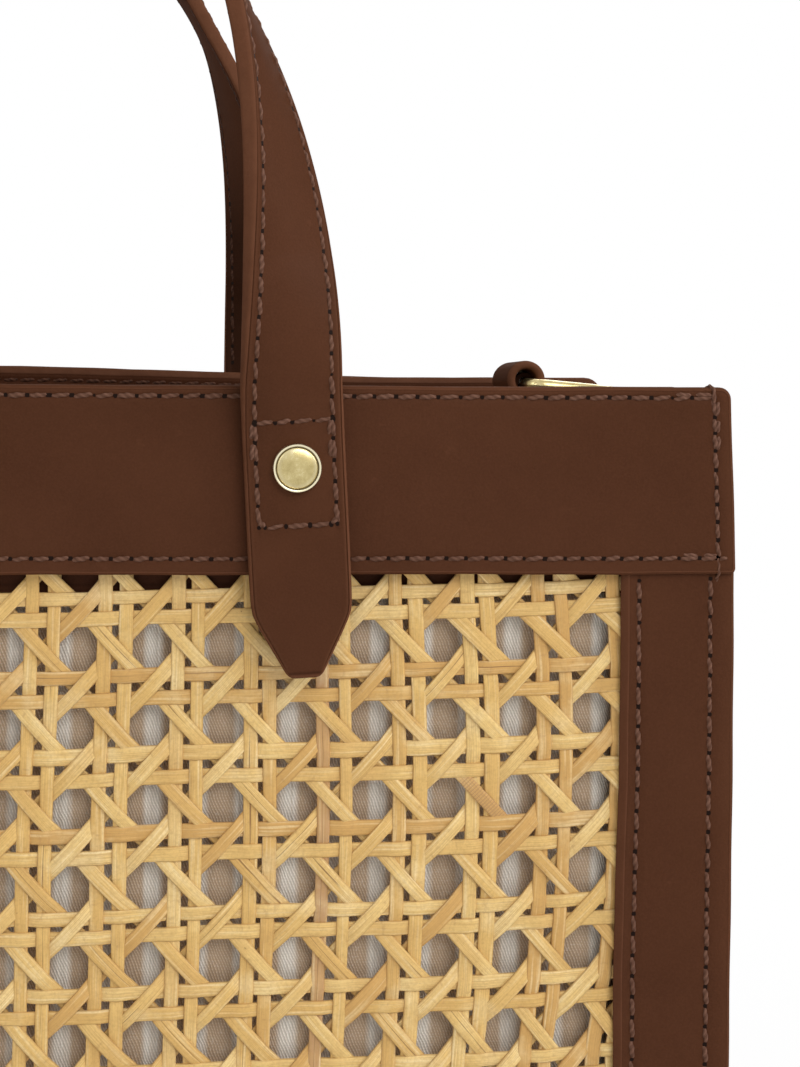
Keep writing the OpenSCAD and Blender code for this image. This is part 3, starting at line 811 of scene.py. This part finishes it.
def handle(side):
    tag = NAMES[side]
    bends = {FRONT: dict(foot=43.5, lean=0.055, rise=110.0, bow=(1.12, 1.12), peak=0.82,
                         turn_from=181.2, turn_over=93.4),
             REAR: dict(foot=44.6, lean=0.05, rise=119.0, bow=(1.18, 0.62), peak=0.81,
                        turn_from=180.5, turn_over=99.0)}
    centre, across, out, half, height = strap_path(**bends[side])
    n = len(centre)
    sewn_here = past(height, 160.0, 2.0)
    thick = STRAP_T * (0.62 + 0.38 * np.sqrt(past(height, TAB_TIP, 1.2)))

    # from the edge inwards: inset, share of the thickness and mask; the rim ends in a crease,
    # and the last three are the valley under the stitches; masks below 0 paint shade in both
    rim = [(0.0, 0.0, 1.0), (0.0, 0.5, 1.0), (0.12, 0.8, 0.95), (0.5, 0.94, 0.9)]
    face = [(0.68, 0.87, -0.45), (0.85, 0.97, 0.3), (1.1, 1.0, 0.2), (1.4, 1.0, 0.0),
            (1.8, 1.0, 0.0), (STITCH_IN, 0.87, -0.2), (3.0, 1.0, 0.0)]
    # the lip and the crease, with its painted shade, run on round the tip
    tip_lip = np.interp(height - TAB_TIP, [0.0, 0.5, 0.75, 1.0, 1.6], [0.9, 0.9, 0.0, -0.45, 0.0])
    edge = [(-(half - inset), thick * h, np.full(n, m)) for inset, h, m in rim]
    for k, (inset, h, m) in enumerate(face):
        sunk = sewn_here if k > 3 else np.ones(n)
        u = -np.maximum(half - inset * np.minimum(1, half / 6), 0.05 * (k + 1))
        edge.append((u, thick * (1 - (1 - h) * sunk), m * sunk + tip_lip))
    upper = edge + [(-u, h, m) for u, h, m in edge[::-1]]
    # painted shade darkens the underside, and less so towards the top of the arch
    unlit = -0.75 * past(250.0, height, 24.0)
    lower = [(-u, -h, np.where(m > 0.8, m, unlit)) for u, h, m in upper[1:-1]]
    ring = upper + lower
    section = np.stack([np.stack([u, h], 1) for u, h, _ in ring], 1)
    mask = np.stack([m for _, _, m in ring], 1)
    shape = Shape()
    centre, across, out = (out_to(side, a) for a in (centre, across, out))
    sweep(shape, centre, across, out, section, mask)
    make(tag + "_strap", shape, LEATHER, [tag + "_handle"], sharp=60)

    sewn = Shape()
    level = STRAP_T - 0.2
    # the box of stitches round the stud
    low, high = 161.9, 182.6
    inset = STRAP_HALF - STITCH_IN
    run, span = height >= low, height >= TOP + 3.0
    for e in (-1.0, 1.0):
        line = centre + across * (e * inset)
        row(sewn, line[run] + out[run] * level, out[run], 4.25, double=(3, 4, -4, -5))
        # painted shade darkens the rows on the strap's underside
        row(sewn, line[span] - out[span] * level, -out[span], 4.25, lift=-0.12, dim=0.5)
    for leg in (slice(0, n // 2), slice(n // 2, n)):
        for z in (low, high):
            k = leg.start + np.argmin(np.abs(height[leg] - z))
            base = centre[k] + out[k] * (STRAP_T - 0.09)
            w = inset if z == high else inset - 1.2
            row(sewn, [base - across[k] * w, base + across[k] * w], out[k], 3.8, slant=-0.2 * side)
            if z == low:
                for e in (-1, 1):
                    corner = base + across[k] * (e * inset) + np.array([0, 0, 1.3])
                    stitches(sewn, [corner], [base + across[k] * (e * w)], [out[k]], slant=0.0, holes=False)
    make(tag + "_strap_stitches", sewn, THREAD)


# Metal

def lathe(shape, centre, axis, profile, steps=56, caps=True, mask=()):
    """Turns a profile of (radius, height) points about an axis that is square to X."""
    axis = np.asarray(axis, float)
    a = circle(steps)
    side_a = np.array([1.0, 0, 0])
    side_b = np.cross(axis, side_a)
    spokes = np.cos(a)[:, None] * side_a + np.sin(a)[:, None] * side_b
    rings = [np.asarray(centre) + axis * h + r * spokes for r, h in profile]
    n, m = len(rings), steps
    faces = grid_faces(n, m)
    if caps:
        faces += end_faces(n, m)
    shape.add(np.concatenate(rings), faces, None, np.repeat(mask, m) if len(mask) else 0.0)


def studs():
    heads, backs = Shape(), Shape()
    # a rim, a groove and a domed middle, and how much painted highlight (above 0) and painted shade (below
    # 0) each point gets
    head = [(4.7, 0.0), (4.85, 0.12), (4.9, 0.45), (4.9, 1.0), (4.84, 1.25), (4.72, 1.4),
            (4.5, 1.42), (4.36, 1.34), (4.3, 1.1), (4.27, 0.8), (4.13, 0.8), (4.1, 1.05),
            (4.0, 1.2), (3.6, 1.36), (3.0, 1.52), (2.2, 1.64), (1.1, 1.71), (0.3, 1.73)]
    painted_light = [0.0, 0.2, 0.6, 0.8, 1.0, 1.0,
              1.0, 0.7, -0.3, -0.8, -0.8, -0.2,
              0.3, 0.2, 0.0, 0.0, 0.0, 0.0]
    cap = [(4.3, 0.0), (4.5, 0.15), (4.5, 0.9), (4.3, 1.3), (3.8, 1.52), (2.0, 1.6), (0.4, 1.6)]
    for side in (FRONT, REAR):
        for flip in (-1.0, 1.0):
            lathe(heads, (flip * STUD_X, side * STUD_Y, STUD_Z), (0, side, 0), head, mask=painted_light)
            lathe(backs, (flip * STUD_X, side * FACING["face"], STUD_Z), (0, -side, 0), cap)
    make("stud_heads", heads, BRASS, ["handle_studs"], sharp=45)
    make("stud_caps", backs, BRASS, ["stud_backs"], sharp=45)


def d_rings():
    def arc(cx, cy, r, a0, a1, n):
        turns = [math.radians(a) for a in np.linspace(a0, a1, n)]
        return [(cx + r * math.cos(a), cy + r * math.sin(a)) for a in turns]

    # the hinge bar, a corner, the round end and the other corner
    d = np.array([(0.0, y) for y in np.linspace(-8.0, 8.0, 9)]
                 + arc(3, 8.4, 3, 180, 90, 10) + [(5.0, 11.4), (7.0, 11.4)]
                 + arc(9, 0, 11.4, 90, -90, 48)
                 + [(7.0, -11.4), (5.0, -11.4)] + arc(3, -8.4, 3, 270, 180, 10))
    slope = math.radians(RING_SLOPE)
    a = circle(16)
    wire = np.stack([WIRE_R * np.cos(a), WIRE_R * np.sin(a)], 1)
    for flip, name in ENDS:
        shape = Shape()
        x, z = RING_X + d[:, 0] * math.cos(slope), RING_Z - d[:, 0] * math.sin(slope)
        path = np.stack([flip * x, d[:, 1], z], 1)
        normal = np.array([flip * math.sin(slope), 0, math.cos(slope)])
        along = unit(np.roll(path, -1, 0) - np.roll(path, 1, 0))
        across = unit(np.cross(along, normal))
        sweep(shape, path, across, normal[None], wire, closed=True)
        make(name + "_d_ring", shape, BRASS, [name + "_ring"], body=name + "_ring_body")


def ring_loops():
    """Leather loops, each with a sleeve round the ring's bar."""
    e = [(-7.0, 0.0), (-6.9, 0.55), (-6.5, 0.88), (-5.9, 0.95), (-4.6, 0.95), (0.0, 0.95)]
    top = e + [(-u, h) for u, h in e[:-1][::-1]]
    section = np.array(top + [(-u, -h) for u, h in top[1:-1]])
    mask = np.where(np.abs(section[:, 0]) > 6.3, 1.0, 0.0)
    # up the outer leg, round the bulb and down the inner leg
    outer, inner, foot, neck = 103.66, 100.34, 170.3, 186.6
    bulb_x, bulb_z, bulb_r = 102, 190.1, 3.55
    bulb = [(bulb_x + bulb_r * math.cos(t), bulb_z + bulb_r * math.sin(t))
            for t in np.radians(np.linspace(-64, 244, 60))]
    path = [(outer, foot), (outer, neck)] + bulb + [(inner, neck), (inner, foot)]
    path = soften(resample(path, 0.5), 5)
    along, n = heading(path), len(path)
    high = past(path[:, 1], 183.0, 5.0)
    aside = math.tan(math.radians(LOOP_TURN))
    for flip, name in ENDS:
        centre = np.stack([flip * (path[:, 0] - 0.7 * high), np.zeros(n), path[:, 1]], 1)
        out = np.stack([flip * along[:, 1], np.zeros(n), -along[:, 0]], 1)
        length = unit(np.stack([-flip * aside * high, np.ones(n), -LOOP_DROP * high], 1))
        shape = Shape()
        sweep(shape, centre, length, out, section, mask[None])
        make(name + "_loop", shape, LEATHER, [name + "_ring_loop"], sharp=60)
        core = Shape()
        lathe(core, (flip * RING_X, 0.0, RING_Z), (0.0, 1.0, 0.0),
              [(1.6, -2.0), (2.6, -2.0), (2.6, 2.0), (1.6, 2.0), (1.6, -2.0)], steps=40, caps=False)
        make(name + "_loop_core", core, (LEATHER_SHADED[0], "leather"), sharp=40)
        sewn = Shape()
        for x, way in ((104.5, 1.0), (99.5, -1.0)):
            corners = ((-4.6, 184.6), (-4.6, 172.6), (4.6, 172.6), (4.6, 184.6), (-4.6, 184.6))
            box = [(flip * x, y, z) for y, z in corners]
            for p, q in zip(box, box[1:]):
                row(sewn, [p, q], (flip * way, 0, 0), 4.2)
        make(name + "_loop_stitches", sewn, THREAD)


# Gussets, base and lining

def gusset_x(y, fold):
    """Where a gusset's wall stands at y, folded inwards at the middle by fold."""
    return WALL_X - fold * past(FLANGE_Y, np.abs(y), FOLD_SPAN)


def gussets():
    """Side walls with a fold that deepens towards the top, and flanges behind the panels."""
    for flip, name in ENDS:
        shape = Shape()
        levels = np.concatenate([[0.6, 0.9], np.linspace(3, 180, 60), [183.6, 185.6, 186.4, 186.7]])
        # the lower and the upper edge are rounded
        thin = dict(zip(levels[[0, 1, -2, -1]], (0.35, 0.8, 0.8, 0.35)))
        sections = []
        for z in levels:
            f = FOLD_IN * np.interp(z, FOLD_Z, FOLD_SHARE)
            y = np.linspace(-54.0, 54.0, 73)
            slack = np.sin(np.pi * past(np.abs(y), 9, FOLD_SPAN))
            x = gusset_x(y, f) + 1.1 * f / FOLD_IN * slack + 0.25 * np.sin(y * 0.16 + z * 0.05) * slack
            end = FLANGE_X if z < NOTCH_Z else NOTCH_X
            line = soften(np.concatenate([[(u, -FLANGE_Y) for u in np.linspace(end, BEND_X, 6)],
                                          np.stack([x, y], 1),
                                          [(u, FLANGE_Y) for u in np.linspace(BEND_X, end, 6)]]), 3)
            d = heading(line)
            normal = np.stack([d[:, 1], -d[:, 0]], 1)
            half = GUSSET_HALF * thin.get(z, 1.0)
            loop = np.concatenate([line + normal * half, (line - normal * half)[::-1]])
            sections.append(np.stack([flip * loop[:, 0], loop[:, 1], np.full(len(loop), z)], 1))
        n, m = len(sections), len(sections[0])
        mask = np.zeros((n, m))
        mask[[0, 1, -2, -1]] = 1.0
        mask[:, [0, m // 2 - 1, m // 2, m - 1]] = 1.0
        faces = grid_faces(n, m)
        for k in (0, (n - 1) * m):
            faces += [[k + i, k + i + 1, k + m - 2 - i, k + m - 1 - i] for i in range(m // 2 - 1)]
        shape.add(np.concatenate(sections), faces, None, mask)
        make(name + "_side", shape, LEATHER, [name + "_gusset"], sharp=60)


def base_leather():
    panel("base_leather", LEATHER, ["base_panel"],
          (-BASE_X, BASE_X, -BASE_Y, BASE_Y), BASE_T - 0.02, 0.0, (1.5,) * 4, (BASE_SEAM,) * 4,
          lambda p: np.stack([p[:, 0], p[:, 2], BASE_T - p[:, 1]], 1), 5.0)
    sewn = Shape()
    x, y = BASE_X - BASE_SEAM, BASE_Y - BASE_SEAM
    corners = [(-x, -y), (x, -y), (x, y), (-x, y), (-x, -y)]
    for p, q in zip(corners, corners[1:]):
        row(sewn, [(*p, 0.45), (*q, 0.45)], (0, 0, -1), lift=-0.16)
    make("base_stitches", sewn, THREAD)


def lining():
    """A cloth pouch, sewn from a front and a rear half that meet in a seam at each side."""
    levels = np.concatenate([[3.8, 4.2, 5.2, 7.0, 10.0], np.linspace(14, 166, 58), [168.0]])
    bend = np.radians(np.linspace(0, 90, 13))

    def quarter(z):
        """The outline at a height, from the panel's middle to the side's, clear of the gusset."""
        low = past(z, 3.8, 8.0)
        pull = 7.0 * (1 - np.sqrt(1 - (1 - low) ** 2))
        hx, hy = 116.5 - pull, 51.0 + 0.8 * past(z, 142, 20) - pull
        r = 8.0 + 3.0 * past(135, z, 80)
        x, y = np.linspace(0, hx - r, 40)[:-1], np.linspace(-(hy - r), 0, 22)[1:]
        p = np.concatenate([np.stack([x, np.full(len(x), -hy)], 1),
                            np.stack([hx - r + r * np.sin(bend), -(hy - r) - r * np.cos(bend)], 1),
                            np.stack([np.full(len(y), hx), y], 1)])
        gap = gusset_x(p[:, 1], FOLD_IN * past(z, 60.0, 100.0)) - 2.6 - p[:, 0]
        p[:, 0] += 0.5 * (gap - np.sqrt(gap * gap + 2.0)) * (gap < 25)
        return p

    shape = Shape()
    for side in (FRONT, REAR):
        v, uv = [], []
        for z in levels:
            q = quarter(z)
            p = np.concatenate([q[::-1] * np.array([-1.0, 1.0]), q[1:]])
            m, middle = len(p), len(q) - 1
            s = lengths(p)
            s -= s[middle]
            ripple = 0.40 * np.sin(s / 13 + 0.02 * z) * np.sin(z / 40) + 0.22 * np.sin(s / 5.1 + z / 31)
            ripple = (0.5 + ripple) * past(162, z, 30) * past(z, 4, 20)
            d = heading(p)
            p = p + np.stack([-d[:, 1], d[:, 0]], 1) * (ripple * np.clip(-p[:, 1] / 10, 0, 1))[:, None]
            v.append(np.stack([p[:, 0], p[:, 1], np.full(m, z)], 1))
            uv.append(np.stack([(s - WHITE_FROM) / STRIPE, np.full(m, z * 0.1)], 1))
        turned = np.array([1.0, -side, 1.0])
        faces = grid_faces(len(levels), m, closed=False)
        shape.add(np.concatenate(v) * turned, faces, np.concatenate(uv))
        bottom = np.concatenate([v[0] * np.array([k, k, 1.0]) for k in (1.0, 0.85, 0.6, 0.35, 0.12)])
        faces = grid_faces(5, m, closed=False) + [[4 * m + k for k in range(m)]]
        shape.add(bottom * turned, faces,
                  np.stack([(bottom[:, 0] - WHITE_FROM) / STRIPE, bottom[:, 1] * 0.1], 1))
    obj = make("lining", shape, CLOTH, ["lining_pouch"])


# Camera, light and floor

def camera():
    """Stands where the photograph was taken, a little turned and tilted."""
    cam = put("camera", bpy.data.cameras.new("camera"))
    bpy.context.scene.camera = cam
    cam.data.sensor_width = 36.0
    cam.data.lens = 59.7
    cam.data.shift_x, cam.data.shift_y = 0.12, -0.16
    cam.location = (0.0179, -0.4108, 0.1989)
    turn = (Matrix.Rotation(math.radians(-3.55), 3, "Z")
            @ Matrix.Rotation(math.radians(90 - 0.70), 3, "X")
            @ Matrix.Rotation(math.radians(0.38), 3, "Z"))
    cam.rotation_mode = "QUATERNION"
    cam.rotation_quaternion = turn.to_quaternion()
    cam.data.clip_start, cam.data.clip_end = 0.01, 50.0


def bright_ray(tree):
    """1 for the rays that see the background as white."""
    rays = node(tree, "LightPath").outputs
    seen = math_node("MAXIMUM", rays["Is Camera Ray"], rays["Is Glossy Ray"])
    return math_node("MAXIMUM", seen, rays["Is Transmission Ray"])


def studio():
    scene = bpy.context.scene
    scene.view_settings.view_transform = "Standard"
    world = bpy.data.worlds.new("studio")
    scene.world = world
    world.use_nodes = True
    t = world.node_tree
    soft = t.nodes["Background"]
    soft.inputs[0].default_value = (1.0, 0.99, 0.975, 1.0)
    soft.inputs[1].default_value = 0.45
    seen = node(t, "Background", Color=(1.0, 1.0, 1.0, 1.0), Strength=1.0)
    mixed = node(t, "MixShader", {0: bright_ray(t), 1: soft.outputs[0], 2: seen.outputs[0]})
    t.links.new(mixed.outputs[0], t.nodes["World Output"].inputs["Surface"])

    mesh = bpy.data.meshes.new("floor")
    mesh.from_pydata([(-6, -6, 0), (6, -6, 0), (6, 6, 0), (-6, 6, 0)], [], [(0, 1, 2, 3)])
    floor = put("floor", mesh)
    m, t, shader, where = material("pale_floor")
    t.nodes.remove(shader)
    matt = node(t, "BsdfDiffuse", Color=(0.86, 0.86, 0.86, 1.0))
    white = node(t, "Emission", Color=(1.0, 1.0, 1.0, 1.0), Strength=1.0)
    far = node(t, "VectorMath", {0: where}, operation="LENGTH").outputs["Value"]
    share = times(bright_ray(t), greys(far, (0.1, 0.8), (0.3, 1.0)))
    mixed = node(t, "MixShader", {0: share, 1: matt.outputs[0], 2: white.outputs[0]})
    t.links.new(mixed.outputs[0], t.nodes["Material Output"].inputs["Surface"])
    mesh.materials.append(m)

    def lamp(name, place, target, size, power):
        data = bpy.data.lights.new(name, "AREA")
        data.shape, data.size, data.energy = "DISK", size, power
        obj = put(name, data)
        obj.location = place
        obj.rotation_mode = "QUATERNION"
        obj.rotation_quaternion = (Vector(target) - Vector(place)).to_track_quat("-Z", "Y")

    lamp("key", (0.55, -1.25, 1.15), (0.0, 0.0, 0.13), 1.1, 13.0)
    lamp("right", (1.6, -0.4, 1.0), (0.0, 0.0, 0.15), 1.0, 15.0)
    lamp("left", (-1.4, -0.5, 0.9), (0.0, 0.0, 0.12), 1.2, 5.0)
    lamp("back", (0.3, 1.4, 1.0), (0.0, 0.0, 0.12), 1.2, 10.0)


camera()
studio()
for which in (FRONT, REAR):
    panel_side(which)
    webbing(which)
    handle(which)
studs()
d_rings()
ring_loops()
gussets()
base_leather()
lining()
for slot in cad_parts["base_board"].material_slots:
    slot.material = BOARD
